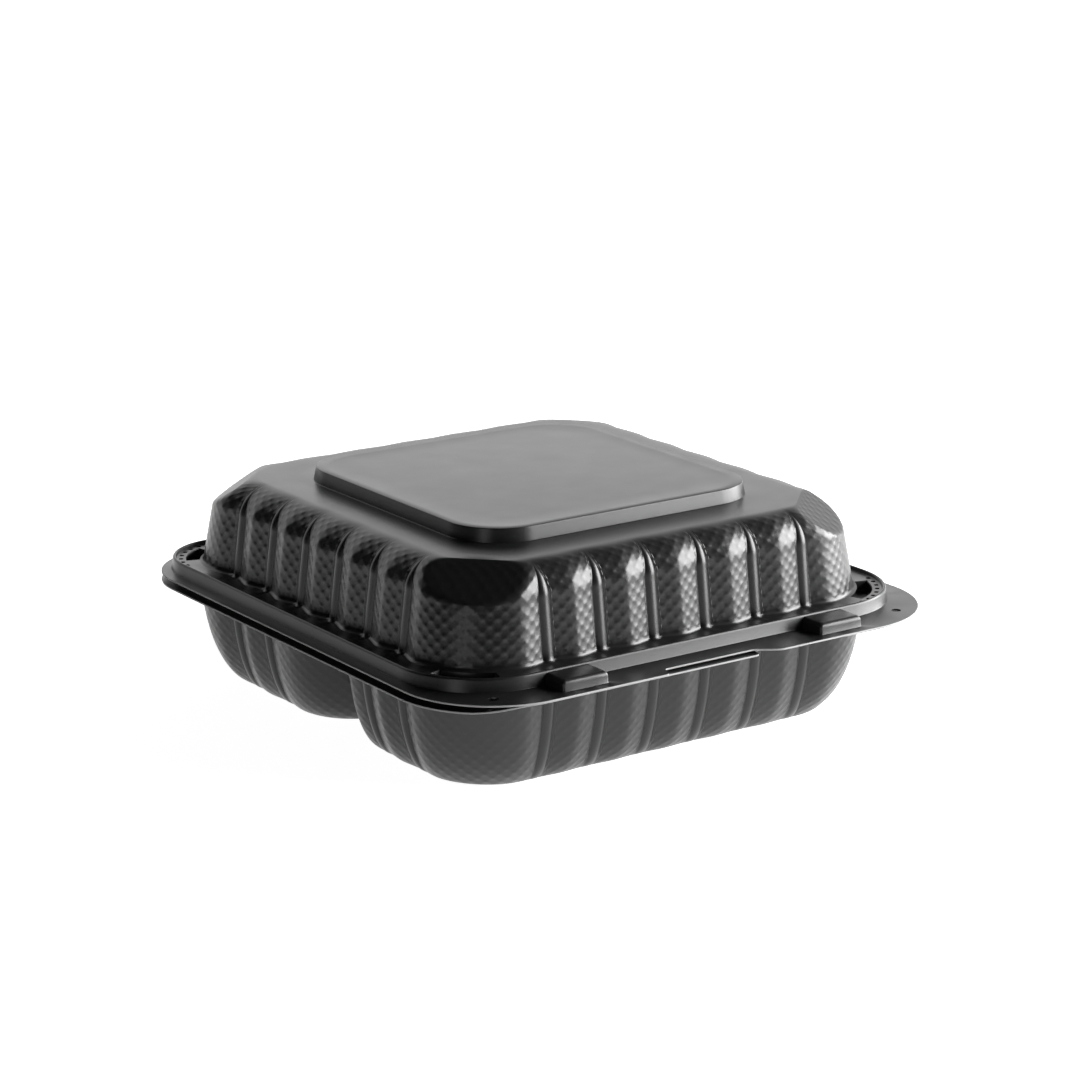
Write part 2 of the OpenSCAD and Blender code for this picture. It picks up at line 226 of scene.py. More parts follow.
class RibbedOutline:
    """Closed outlines of a box whose outer sides carry ribs and bays."""

    def __init__(self, pattern: WallPattern, ribs: Sequence[Sequence[float]], outer: Sequence[bool]) -> None:
        """Keeps what all outlines of one wall share.

        Args:
            pattern: The ribs and bays.
            ribs: For each side, the rib places in the plan's own coordinate.
            outer: For each side, whether it is a ribbed outer wall.
        """
        self.pattern = pattern
        self.outer = list(outer)
        self.ribs = [
            list(places) if q in (Side.RIGHT, Side.FRONT) else [-p for p in reversed(places)]
            for q, places in enumerate(ribs)
        ]

    @staticmethod
    def _place(q: int, reach: float, u: np.ndarray, out: np.ndarray) -> np.ndarray:
        """Points beside one side.

        Args:
            q: The side.
            reach: Distance of the side from the plan's middle.
            u: Places along the side, counterclockwise.
            out: Distances out of the side.

        Returns:
            The points.
        """
        across = reach + out if q in (Side.RIGHT, Side.BACK) else -reach - out
        along = u if q in (Side.RIGHT, Side.FRONT) else -u
        return np.stack([across, along] if q in (Side.RIGHT, Side.LEFT) else [along, across], 1)

    def _stretch(self, q: int, middle: float, scale: float, taper: float) -> list[np.ndarray]:
        """Places, swell, bay place and mask along one side, from its first rib to its last.

        Args:
            q: The side.
            middle: The middle of the side.
            scale: Share of the full swell.
            taper: Share of the full rib width.

        Returns:
            The four rows.
        """
        pattern = self.pattern
        if not self.outer[q]:
            span = np.linspace(-0.5, 0.5, 3)
            flat = np.zeros(3)
            return [middle + span, flat, flat, flat]
        half = pattern.rib_width / 2 * taper
        parts: list[list[np.ndarray]] = [[], [], [], []]
        ribs = self.ribs[q]
        for i, place in enumerate(ribs):
            t = np.linspace(-1.0, 1.0, pattern.rib_points + 1)
            for part, row in zip(parts, (place + half * t, pattern.cap(t) * taper * scale, 0 * t, 0 * t)):
                part.append(row)
            if i < len(ribs) - 1:
                width = ribs[i + 1] - place - 2 * half
                f = np.linspace(0.0, 1.0, pattern.bay_points + 1)[1:-1]
                edge = np.minimum(f, 1 - f)
                parts[0].append(place + half + f * width)
                parts[1].append(scale * pattern.bay_rise * pattern.tent(2 * edge))
                parts[2].append((f - 0.5) * width)
                parts[3].append(smooth(edge * width / pattern.pebble_edge))
        return [np.concatenate(p) for p in parts]

    def ring(self, box: Box, radii: Sequence[float], scale: float, taper: float = 1.0) -> Ring:
        """One outline.

        Args:
            box: Left, front, right and back of the walls, without swell.
            radii: Corner radii, counterclockwise from the back right.
            scale: Share of the full swell.
            taper: Share of the full rib width.

        Returns:
            The outline.
        """
        pattern = self.pattern
        reach = [box[2], box[3], -box[0], -box[1]]
        ends = [box[3], -box[0], -box[1], box[2]]
        begins = [box[1], -box[2], -box[3], box[0]]
        sides = [self._stretch(q, (begins[q] + ends[q]) / 2, scale, taper) for q in range(4)]
        xy, along, mask = [], [], []
        for q in range(4):
            after = (q + 1) % 4
            last, first = sides[q][0][-1], sides[after][0][0]
            r = min(radii[q], ends[q] - last - 0.2, first - begins[after] - 0.2)
            centre = self._place(q, reach[q] - r, np.array([ends[q] - r]), np.array([0.0]))[0]
            lead, arc, tail = ends[q] - r - last, r * math.pi / 2, first - begins[after] - r
            length = lead + arc + tail
            d = np.concatenate([
                np.linspace(0, lead, pattern.lead_points + 1)[1:],
                lead + np.linspace(0, arc, pattern.arc_points + 1)[1:],
                lead + arc + np.linspace(0, tail, pattern.lead_points + 1)[1:-1],
            ])
            rest = length - d
            turn = np.radians(q * 90 + 90 * np.clip((d - lead) / arc, 0, 1))
            slide = np.where(d < lead, d - lead, np.maximum(0, d - lead - arc))
            plain = pattern.bay_rise * np.clip((d - lead) / arc, 0, 1)
            back = pattern.bay_rise * np.clip((rest - tail) / arc, 0, 1)
            before = pattern.lobe(d) if self.outer[q] else plain
            behind = pattern.lobe(rest) if self.outer[after] else back
            out = r + scale * np.minimum(before, behind)
            xy.append(self._place(q, reach[q], sides[q][0], sides[q][1]))
            xy.append(np.stack([
                centre[0] + out * np.cos(turn) - slide * np.sin(turn),
                centre[1] + out * np.sin(turn) + slide * np.cos(turn),
            ], 1))
            along += [sides[q][2], d - length / 2]
            near = np.minimum(d if self.outer[q] else d - lead, rest if self.outer[after] else rest - tail)
            shown = smooth(near / pattern.pebble_edge) * float(self.outer[q] or self.outer[after])
            mask += [sides[q][3], shown]
        return Ring(np.concatenate(xy), np.concatenate(along), np.concatenate(mask))


def inside(points: np.ndarray, loop: np.ndarray) -> np.ndarray:
    """Which points lie inside a closed loop.

    Args:
        points: Points, one a row.
        loop: The loop's corners, one a row.

    Returns:
        A truth value for each point.
    """
    a, b = loop, np.roll(loop, -1, 0)
    x, y = points[:, :1], points[:, 1:2]
    crosses = (a[:, 1] > y) != (b[:, 1] > y)
    rise = np.where(b[:, 1] == a[:, 1], 1e-12, b[:, 1] - a[:, 1])
    at = (b[:, 0] - a[:, 0]) * (y - a[:, 1]) / rise + a[:, 0]
    return (np.sum(crosses & (x < at), 1) % 2) == 1


class FormedSheet:
    """Gathers the surfaces of one formed sheet before they become a Blender mesh."""

    def __init__(self) -> None:
        """Starts an empty sheet."""
        self._points: list[np.ndarray] = []
        self._pebble: list[np.ndarray] = []
        self._faces: list[tuple[int, ...]] = []
        self._cut: set[int] = set()
        self._count = 0

    def _take(self, points: np.ndarray, pebble: np.ndarray | None) -> int:
        """Takes in points with what their pebbles need.

        Args:
            points: The points.
            pebble: Bay place, height place and mask of each point.

        Returns:
            The number of the first point.
        """
        start = self._count
        self._points.append(points)
        self._pebble.append(np.zeros_like(points) if pebble is None else pebble)
        self._count += len(points)
        return start

    def grid(self, rings: np.ndarray, pebble: np.ndarray | None = None, closed: bool = True,
             flip: bool = False, cut: bool = False) -> None:
        """Adds a surface through rings of equal length.

        Args:
            rings: Points as (ring, place, 3), counterclockwise rings from the bottom up face out.
            pebble: Bay place, height place and mask as (ring, place, 3).
            closed: Whether each ring closes on itself.
            flip: Whether the faces look the other way.
            cut: Whether this is a trimmed edge of the sheet, which gets the pale grey of the painted edge
                highlight.
        """
        levels, count = rings.shape[:2]
        start = self._take(rings.reshape(-1, 3), None if pebble is None else pebble.reshape(-1, 3))
        wrap = count if closed else count - 1
        for i in range(levels - 1):
            for j in range(wrap):
                a, b = start + i * count + j, start + i * count + (j + 1) % count
                face = (a, b, b + count, a + count)
                if cut:
                    self._cut.add(len(self._faces))
                self._faces.append(face[::-1] if flip else face)

    def wall(self, levels: Sequence[tuple[np.ndarray, float | np.ndarray]], flip: bool = False,
             cut: bool = False, cap: bool = False) -> None:
        """Adds a surface through plan outlines at heights.

        Args:
            levels: Outlines of equal length with their heights, from the bottom up.
            flip: Whether the faces look the other way.
            cut: Whether this is a trimmed edge of the sheet, which gets the pale grey of the painted edge
                highlight.
            cap: Whether a flat area closes the last outline.
        """
        self.grid(np.array([flat_ring(xy, z) for xy, z in levels]), flip=flip, cut=cut)
        if cap:
            self.fill(levels[-1][0], (), levels[-1][1], up=not flip)

    def fill(self, outer: np.ndarray, holes: Sequence[np.ndarray], height: Heights, up: bool = True,
             folds: Sequence[np.ndarray] = ()) -> None:
        """Adds a flat or gently folded area inside one loop and outside others.

        Args:
            outer: The closed loop around the area.
            holes: Closed loops that are left open.
            height: The height, or a function from points to heights.
            up: Whether the area looks up.
            folds: Open lines along which the area may bend.
        """
        lines = [(loop, True) for loop in (outer, *holes)] + [(fold, False) for fold in folds]
        edges: list[tuple[int, int]] = []
        start = 0
        for line, closed in lines:
            n = len(line)
            edges += [(start + k, start + (k + 1) % n) for k in range(n if closed else n - 1)]
            start += n
        flat = [Vector(p) for p in np.concatenate([line for line, _ in lines])]
        verts, _, faces, *_ = delaunay_2d_cdt(flat, edges, [], 0, 1e-7)
        xy = np.array([tuple(v) for v in verts])
        triangles = np.array([tuple(f) for f in faces if len(f) == 3])
        middles = xy[triangles].mean(1)
        shown = inside(middles, outer)
        for hole in holes:
            shown &= ~inside(middles, hole)
        kept = triangles[shown]
        z = height(xy) if callable(height) else np.full(len(xy), height)
        first = self._take(np.column_stack([xy, z]), None)
        a, b, c = xy[kept[:, 0]], xy[kept[:, 1]], xy[kept[:, 2]]
        turn = (b[:, 0] - a[:, 0]) * (c[:, 1] - a[:, 1]) - (b[:, 1] - a[:, 1]) * (c[:, 0] - a[:, 0])
        for face, t in zip(kept + first, turn):
            self._faces.append(tuple(int(k) for k in (face if (t > 0) == up else face[::-1])))

    def build(self, name: str, sharp: float = 38.0) -> bpy.types.Object:
        """Turns the gathered surfaces into one object in the row frame, in metres.

        Args:
            name: The piece's name.
            sharp: Angle in degrees above which an edge is sharp.

        Returns:
            The object.
        """
        points = np.concatenate(self._points)
        pebble = np.concatenate(self._pebble)
        keys, first, back = np.unique(np.round(points, 2), axis=0, return_index=True, return_inverse=True)
        back = back.reshape(-1)
        marks = np.zeros((len(keys), 3))
        marks[:] = pebble[first]
        order = np.argsort(pebble[:, 2], kind="stable")
        marks[back[order]] = pebble[order]
        faces, slots = [], []
        for number, f in enumerate(self._faces):
            g = [int(back[k]) for k in f]
            g = [v for k, v in enumerate(g) if v != g[k - 1]]
            if len(set(g)) == len(g) and len(g) >= 3:
                faces.append(g)
                slots.append(int(number in self._cut))
        used = np.zeros(len(keys), bool)
        used[[v for f in faces for v in f]] = True
        index = np.cumsum(used) - 1
        faces = [[int(index[v]) for v in f] for f in faces]
        shown, marks = points[first][used], marks[used]
        shown[:, 1] += PLAN.centre_y
        mesh = bpy.data.meshes.new(name)
        mesh.from_pydata((shown * MILLIMETRE).tolist(), [], faces)
        # Trimmed-edge faces take the second slot: pale grey, a painted highlight along the edges.
        mesh.polygons.foreach_set("material_index", slots)
        mesh.validate()
        attribute = mesh.attributes.new(PEBBLE, "FLOAT_VECTOR", "POINT")
        if len(attribute.data) == len(marks):
            attribute.data.foreach_set("vector", marks.astype(np.float32).ravel())
        mesh.shade_smooth()
        mesh.set_sharp_from_angle(angle=math.radians(sharp))
        piece = place_object(name, mesh)
        LOG.info("%s: %d faces", name, len(faces))
        return piece


def place_object(name: str, data: bpy.types.ID) -> bpy.types.Object:
    """Adds an object to the scene.

    Args:
        name: Its name.
        data: Its mesh, light or camera.

    Returns:
        The object.
    """
    thing = bpy.data.objects.new(name, data)
    bpy.context.scene.collection.objects.link(thing)
    return thing


def turn_towards(thing: bpy.types.Object, way: Vector) -> None:
    """Turns a camera or a lamp so that it looks along a direction."""
    thing.rotation_mode = "QUATERNION"
    thing.rotation_quaternion = way.to_track_quat("-Z", "Y")


def node_math(tree: bpy.types.NodeTree, operation: str, first: bpy.types.NodeSocket,
              second: bpy.types.NodeSocket | float | None = None) -> bpy.types.NodeSocket:
    """Adds a math node.

    Args:
        tree: The nodes to add it to.
        operation: What it does.
        first: Its first input.
        second: Its second input, as a socket or a number.

    Returns:
        Its output.
    """
    node = tree.nodes.new("ShaderNodeMath")
    node.operation = operation
    tree.links.new(first, node.inputs[0])
    if isinstance(second, float):
        node.inputs[1].default_value = second
    elif second is not None:
        tree.links.new(second, node.inputs[1])
    return node.outputs[0]


def flat_ring(xy: np.ndarray, z: float | np.ndarray) -> np.ndarray:
    """Lifts a plan outline to a height.

    Args:
        xy: Points of the outline.
        z: One height, or one for each point.

    Returns:
        Points in space.
    """
    return np.column_stack([xy, np.broadcast_to(z, len(xy))])


def rounded_box(box: Box, front: float, back: float, arc: int = 24, side: int = 60) -> np.ndarray:
    """A rounded rectangle, counterclockwise from the right side's front end.

    Args:
        box: Left, front, right and back.
        front: Radius of the two front corners.
        back: Radius of the two back corners.
        arc: Points on each corner.
        side: Points on each side.

    Returns:
        The outline.
    """
    left, low, right, high = box
    centres = [(right - back, high - back, back), (left + back, high - back, back),
               (left + front, low + front, front), (right - front, low + front, front)]
    corners = []
    for q, (x, y, r) in enumerate(centres):
        turn = np.radians(q * 90 + np.linspace(0, 90, arc + 1))
        corners.append(np.column_stack([x + r * np.cos(turn), y + r * np.sin(turn)]))
    parts = []
    for q in range(4):
        start, end = corners[q - 1][-1], corners[q][0]
        f = np.linspace(0, 1, side + 1)[1:-1, None]
        parts += [start + (end - start) * f, corners[q]]
    return np.concatenate(parts)


def bead_ring(inset: float) -> np.ndarray:
    """The lid bead's outline, let in by some distance.

    Args:
        inset: Distance inward.

    Returns:
        The outline.
    """
    x, y = (half - inset for half in PLAN.bead)
    front, back = (radius - inset for radius in PLAN.bead_radii)
    return rounded_box((-x, -y, x, y), front, back)


@dataclass(frozen=True)
class LipCut:
    """A cut in a front lip, with an S curve at each end."""

    left: float
    right: float
    depth: float
    left_curve: float
    right_curve: float

    def at(self, x: np.ndarray) -> np.ndarray:
        """Depth of the cut at some places along the lip.

        Args:
            x: Places along the lip.

        Returns:
            The depths.
        """
        rise = smooth((x - (self.left - self.left_curve)) / self.left_curve)
        fall = smooth(((self.right + self.right_curve) - x) / self.right_curve)
        return self.depth * np.minimum(rise, fall)


def flange_ring(front: float, cut: LipCut, inset: float = 0.0) -> np.ndarray:
    """The outline of a flange with its lip cut.

    Args:
        front: Reach of the lip.
        cut: The cut in the lip.
        inset: Distance inward.

    Returns:
        The outline.
    """
    h = PLAN.flange_half - inset
    box = (-h, -front + inset, h, PLAN.flange_back - inset)
    front_radius, back_radius = (radius - inset for radius in PLAN.flange_radii)
    ring = rounded_box(box, front_radius, back_radius, 32, 200)
    on_lip = np.abs(ring[:, 1] + front - inset) < 1e-6
    ring[on_lip, 1] += cut.at(ring[on_lip, 0])
    return ring


def trimmed_edge(front: float, cut: LipCut) -> list[tuple[np.ndarray, float]]:
    """The slightly rounded edge of a flange.

    Args:
        front: Reach of the lip.
        cut: The cut in the lip.

    Returns:
        Outlines, each with its height above the flange's upper face, from the bottom up.
    """
    face, edge = (flange_ring(front, cut, inset) for inset in (0.0, EDGE_ROUND))
    return [(edge, -LEVEL.sheet), (face, EDGE_ROUND - LEVEL.sheet), (face, -EDGE_ROUND), (edge, 0.0)]


def circle(x: float, y: float, r: float, count: int = 24) -> np.ndarray:
    """A circle in plan.

    Args:
        x: Middle, left to right.
        y: Middle, front to back.
        r: Radius.
        count: Points.

    Returns:
        The outline, counterclockwise.
    """
    turn = np.linspace(0, 2 * math.pi, count, endpoint=False)
    return np.column_stack([x + r * np.cos(turn), y + r * np.sin(turn)])


def climbs(levels: Sequence[Sequence[float]]) -> list[float]:
    """Distance along a wall from its first level to each level.

    Args:
        levels: Rows that begin with a height and an inset.

    Returns:
        The distances.
    """
    distances = [0.0]
    for before, after in zip(levels, levels[1:]):
        distances.append(distances[-1] + math.hypot(after[0] - before[0], after[1] - before[1]))
    return distances


@dataclass(frozen=True)
class LatchSizes:
    """The latch boxes on the lid and the tongues of the tray inside them.

    The roots say how far in front of the bead's outer face a back edge lies.
    """

    offset: float = 52.5
    width: float = 18.0
    reach: float = 9.6
    height: float = 3.9
    corner: float = 0.9
    back_corner: float = 0.05
    root: float = -2.0
    under_root: float = -0.6
    foot_flare: float = 0.25
    draft: float = 0.1
    round_run: float = 1.4
    round_rise: float = 1.6
    clearance: float = 0.5

    def outline(self, side: int, inset: float, root: float) -> np.ndarray:
        """Plan of a latch box.

        Args:
            side: -1 for the left latch and 1 for the right one.
            inset: Distance inward.
            root: Distance of its back edge in front of the bead's outer face.

        Returns:
            The outline.
        """
        half = self.width / 2 - inset
        x = side * self.offset
        front = -PLAN.bead[1] - self.reach + inset
        back = -PLAN.bead[1] - root
        return rounded_box((x - half, front, x + half, back), self.corner, self.back_corner, 6, 4)

    def outer_face(self) -> Profile:
        """Inset and height of the box's outer face, from the flange up to its top.

        Returns:
            The profile, from the bottom up.
        """
        low, top = LEVEL.lid_top, LEVEL.lid_top + self.height
        foot = [(-self.foot_flare, low), (-0.08, low + 0.08), (0.0, low + 0.3)]
        run, rise = self.round_run, self.round_rise
        return foot + [(self.draft + run * (1 - math.cos(a)), top - rise + rise * math.sin(a))
                       for a in np.radians((0, 18, 36, 54, 72, 90))]

    def inner_face(self) -> Profile:
        """Inset and height of the box's inner face.

        Returns:
            The profile, from the bottom up.
        """
        top = LEVEL.lid_top + self.height
        steps = ((0.0, LEVEL.lid_under), (self.draft, top - 1.8), (0.5, top - 0.8), (1.3, top - LEVEL.sheet))
        return [(LEVEL.sheet + inset, z) for inset, z in steps]

    def tongue(self) -> Profile:
        """Inset and height of the tray's tongue, which stands inside the box with some play.

        Returns:
            The profile, from the bottom up.
        """
        gap = LEVEL.sheet + self.clearance
        top = LEVEL.lid_top + self.height - gap
        steps = ((0.0, LEVEL.base_lip - 0.3), (0.05, top - 1.0), (0.3, top - 0.35), (0.9, top))
        return [(gap + inset, z) for inset, z in steps]


@dataclass(frozen=True)
class RimSizes:
    """Bead, holes, dimples and pockets of the lid's rim.

    The bead's profile has insets and heights, a dimple's has shares of its radius and depth, and a
    pocket's has distances from its edge and depths.
    """

    bead_profile: Profile = (
        (-0.45, LEVEL.lid_top), (-0.15, LEVEL.lid_top + 0.1), (0.0, LEVEL.lid_top + 0.45), (0.4, 42.9),
        (0.5, 43.25), (0.66, 43.52), (0.9, 43.67), (1.1, LEVEL.bead_top), (1.35, 43.62), (1.6, 43.35),
        (1.7, 42.95), (1.85, 42.65), (2.15, 42.53), (2.6, LEVEL.strip_top),
    )
    hole_offset: float = 83.0
    hole_setback: float = 11.5
    hole_radius: float = 1.75
    dimples: int = 8
    dimple_radius: float = 0.95
    dimple_depth: float = 1.6
    dimple_inset: float = 3.3
    dimple_pitch: float = 4.3
    dimple_profile: Profile = ((1.0, 0.0), (0.97, 0.5), (0.88, 0.9), (0.5, 1.0), (0.02, 1.0))
    pocket_inset: float = 5.0
    pocket_from: float = 18.0
    pocket_to: float = 72.0
    pocket_profile: Profile = ((0.0, 0.0), (0.12, 0.12), (0.35, 0.6), (0.5, 2.9), (0.9, 3.3), (1.5, 3.4))


@dataclass(frozen=True)
class DomeSizes:
    """The lid's ribbed dome and its raised panel."""

    lean: float = 0.135
    foot_flare: float = 0.8
    foot_height: float = 0.9
    foot_levels: tuple[float, ...] = (42.62, 42.9, 43.4)
    wall_start: float = 44.5
    pebble_gap: float = 0.6
    pebble_fade: float = 1.4
    crown_inset: float = 2.78
    crown_height: float = 11.0
    crown_run: float = 11.0
    rib_end: float = 64.0
    pebble_end: float = 78.0
    flat_level: float = 63.6
    flat_starts: tuple[float, float] = (-13.43, -10.53)
    flat_run: float = 15.5
    flat_drop: float = 10.5
    flat_soft: float = 0.5
    panel_half: float = 59.5
    panel_corner: float = 20.0
    panel_bow: float = 0.35
    panel_steps: Profile = (
        (0.5, 0.0), (0.15, 0.04), (0.02, 0.15), (0.0, 0.3),
        (-0.9, 4.3), (-0.95, 4.55), (-1.03, 4.7), (-1.2, 4.78),
    )


class FormedPart:
    """A rigid part of the container, which stands for one CAD node and rides one body."""

    body: str
    node: str

    def dress(self, piece: bpy.types.Object, finish: "PlasticFinish") -> None:
        """Gives the part its finish, hides the CAD node it stands for and attaches it to its body.

        Args:
            piece: The part's object.
            finish: The plastic.
        """
        finish.apply(piece)
        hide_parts(self.node)
        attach(piece, self.body)


class Lid(FormedPart):
    """The lid: flange, bead, strip with corner pockets, latch boxes, ribbed dome and panel."""

    body = "lid_body"
    node = "lid"

    def __init__(self) -> None:
        """Takes the lid's sizes."""
        self.rim = RimSizes()
        self.dome = DomeSizes()
        self.latch = LatchSizes()
        self.pattern = WallPattern()
        self.cut = LipCut(-20.0, 14.5, 5.0, 3.0, 11.0)
        self.outline = RibbedOutline(self.pattern, [self.pattern.places] * 4, [True] * 4)

    def _dome_ring(self, z: float, inset: float, scale: float = 1.0, taper: float = 1.0,
                   skin: float = 0.0) -> Ring:
        """The dome's outline at one height, with the flats at its corners.

        Args:
            z: Height above the table.
            inset: Distance inward from the wall's foot.
            scale: Share of the full swell.
            taper: Share of the full rib width.
            skin: Distance inward from the outer face.

        Returns:
            The outline.
        """
        d = self.dome
        x, y = (half - inset - skin for half in PLAN.wall)
        front, back = (radius - skin for radius in PLAN.wall_radii)
        ring = self.outline.ring((-x, -y, x, y), [back, back, front, front], scale, taper)
        if z > d.flat_level:
            xy = ring.xy
            start = np.where(xy[:, 1] > 0, d.flat_starts[1], d.flat_starts[0])
            limit = start - d.flat_run * (z - d.flat_level) / d.flat_drop
            over = (np.abs(xy).sum(1) - sum(PLAN.wall)) / math.sqrt(2) - (limit - skin)
            soft = d.flat_soft * np.logaddexp(0, over / d.flat_soft) / math.sqrt(2)
            ring.xy = xy - np.sign(xy) * soft[:, None]
        return ring

    def _dome_levels(self, skin: float) -> list[tuple[float, ...]]:
        """Height, inset, swell, rib width and pebble share of each ring of the dome.

        Args:
            skin: Distance inward from the outer face.

        Returns:
            The levels, from the bottom up.
        """
        d, start = self.dome, LEVEL.strip_top
        levels = []
        for z in (start, *d.foot_levels, *np.linspace(d.wall_start, LEVEL.crown_start, 10)):
            foot = d.foot_flare * max(0.0, 1 - (z - start) / d.foot_height) ** 2
            share = float(smooth((z - start - d.pebble_gap) / d.pebble_fade))
            inset = d.lean * (z - start) - foot
            if skin and z < start + 0.5:
                z, inset = z - skin, max(inset, 0.0)
            levels.append((z, inset, 1.0, 1.0, share))
        for a in np.linspace(0, 90, 23)[1:]:
            sine, cosine = math.sin(math.radians(a)), math.cos(math.radians(a))
            taper = float(np.clip(1 - (a / d.rib_end) ** 1.3, 0.02, 1))
            levels.append((
                d.crown_height * sine + LEVEL.crown_start, d.crown_inset + d.crown_run * (1 - cosine),
                1 - (a / 90) ** 2, taper, float(smooth((d.pebble_end - a) / 22)),
            ))
        return levels

    def _add_dome(self, sheet: FormedSheet) -> None:
        """The ribbed wall, the crown, the shoulder and the panel, outside and inside.

        Args:
            sheet: The lid's sheet.
        """
        for skin, flip in ((0.0, False), (LEVEL.sheet, True)):
            rings, pebble = [], []
            levels = self._dome_levels(skin)
            for climb, (z, inset, swell, taper, share) in zip(climbs(levels), levels):
                ring = self._dome_ring(z, inset, swell, taper, skin)
                rings.append(flat_ring(ring.xy, z - skin * (1 - swell)))
                pebble.append(ring.marks(climb, share))
            top = self._panel_rings(rings[-1][:, :2], skin)
            pebble += [np.zeros_like(pebble[0])] * len(top)
            sheet.grid(np.array(rings + top), np.array(pebble), flip=flip)

    def _panel_rings(self, shoulder: np.ndarray, skin: float) -> list[np.ndarray]:
        """Rings from the crown over the shoulder, up the panel's wall and across its bowed top.

        Args:
            shoulder: The crown's last outline.
            skin: Distance inward from the outer face.

        Returns:
            The rings.
        """
        d = self.dome
        way = np.arctan2(shoulder[:, 1], shoulder[:, 0])
        top = LEVEL.shoulder - skin
        foot = self._panel_ring(way, d.panel_steps[0][0] - skin)
        rings = [flat_ring(shoulder + (foot - shoulder) * f, top) for f in (0.33, 0.66)]
        rings += [flat_ring(self._panel_ring(way, grow - skin), top + rise) for grow, rise in d.panel_steps]
        rim = rings[-1][:, :2]
        edge = LEVEL.panel_top - d.panel_bow - skin
        for f in (0.94, 0.8, 0.6, 0.4, 0.2, 0.002):
            bow = 1 - (rim * f / d.panel_half) ** 2
            rings.append(flat_ring(rim * f, edge + d.panel_bow * bow[:, 0] * bow[:, 1]))
        return rings

    def _panel_ring(self, way: np.ndarray, grow: float) -> np.ndarray:
        """The panel's outline along given directions from the middle.

        Args:
            way: Directions, in radians.
            grow: Distance outward from the panel's own outline.

        Returns:
            The outline.
        """
        h, r = self.dome.panel_half + grow, self.dome.panel_corner + grow
        c = h - r
        x, y = np.cos(way), np.sin(way)
        ax, ay = np.abs(x), np.abs(y)
        reach = h / np.maximum(ax, ay)
        hit = np.minimum(ax, ay) * reach > c
        b = c * (ax + ay)
        root = b**2 - (2 * c * c - r * r)
        reach[hit] = (b + np.sqrt(np.maximum(root, 0)))[hit]
        return np.column_stack([x, y]) * reach[:, None]

    def _pocket(self, corner: tuple[int, int]) -> tuple[np.ndarray, np.ndarray]:
        """The crescent of one corner's pocket, between the dome's foot and the bead.

        Args:
            corner: The corner, as the signs of x and y.

        Returns:
            Its plan as a grid, and its depth at each point of the grid.
        """
        rim = self.rim
        at_back = int(corner[1] > 0)
        bead_radius, wall_radius = PLAN.bead_radii[at_back], PLAN.wall_radii[at_back]
        centre = [half - bead_radius for half in PLAN.bead]
        shift = centre[0] - (PLAN.wall[0] - wall_radius)
        reach = wall_radius + self.pattern.bay_rise - 0.05
        steps, sinks = np.array(rim.pocket_profile).T
        outer = bead_radius - rim.pocket_inset
        span = math.radians(rim.pocket_to - rim.pocket_from) * outer
        middle = np.linspace(steps[-1], span - steps[-1], 18)[1:-1]
        sides = np.concatenate([steps, middle, span - steps[::-1]])
        turn = math.radians(rim.pocket_from) + sides / outer
        unit = np.column_stack([np.cos(turn), np.sin(turn)])
        b = shift * unit.sum(1)
        inner = (-b + np.sqrt(b**2 - (2 * shift**2 - reach**2)))[:, None]
        far = np.tile(outer - steps[::-1], (len(turn), 1))
        radii = np.hstack([inner + steps, (inner + outer) / 2, far])
        deep = np.concatenate([steps, [np.inf], steps[::-1]])
        edge = np.minimum(deep, np.minimum(sides, span - sides)[:, None])
        plan = np.stack([corner[k] * (centre[k] + radii * unit[:, k : k + 1]) for k in (0, 1)], 2)
        return plan, np.interp(edge, steps, sinks)

    def _add_dimples(self, sheet: FormedSheet, corner: tuple[int, int]) -> list[np.ndarray]:
        """The row of small bowls round one corner of the strip.

        Args:
            sheet: The lid's sheet.
            corner: The corner, as the signs of x and y.

        Returns:
            The bowls' outlines.
        """
        rim = self.rim
        bead_radius = PLAN.bead_radii[int(corner[1] > 0)]
        r = bead_radius - rim.dimple_inset
        outlines = []
        for k in range(rim.dimples):
            turn = math.pi / 4 + (k - (rim.dimples - 1) / 2) * rim.dimple_pitch / r
            x = corner[0] * (PLAN.bead[0] - bead_radius + r * math.cos(turn))
            y = corner[1] * (PLAN.bead[1] - bead_radius + r * math.sin(turn))
            bowl = [(circle(x, y, rim.dimple_radius * wide, 16), LEVEL.strip_top - rim.dimple_depth * deep)
                    for wide, deep in rim.dimple_profile]
            sheet.wall(bowl)
            outlines.append(bowl[0][0])
        return outlines

    def _add_strip(self, sheet: FormedSheet) -> None:
        """The sunken strip with its pockets and dimples, seen from above and from below.

        Args:
            sheet: The lid's sheet.
        """
        top, under = LEVEL.strip_top, LEVEL.strip_top - LEVEL.sheet
        pockets = []
        holes = [self._dome_ring(top, -self.dome.foot_flare).xy]
        for corner in ((1, 1), (-1, 1), (-1, -1), (1, -1)):
            plan, sink = self._pocket(corner)
            mirrored = corner[0] != corner[1]
            sheet.grid(np.dstack([plan, top - sink]), closed=False, flip=mirrored)
            sheet.grid(np.dstack([plan, under - sink]), closed=False, flip=not mirrored)
            pockets.append(np.concatenate([plan[:, 0], plan[-1, 1:], plan[-2::-1, -1], plan[0, -2:0:-1]]))
            holes += [pockets[-1], *self._add_dimples(sheet, corner)]
        sheet.fill(bead_ring(self.rim.bead_profile[-1][0]), holes, top)
        inner = self._dome_ring(top, 0.0, skin=LEVEL.sheet).xy
        sheet.fill(bead_ring(LEVEL.sheet), [inner, *pockets], under, up=False)

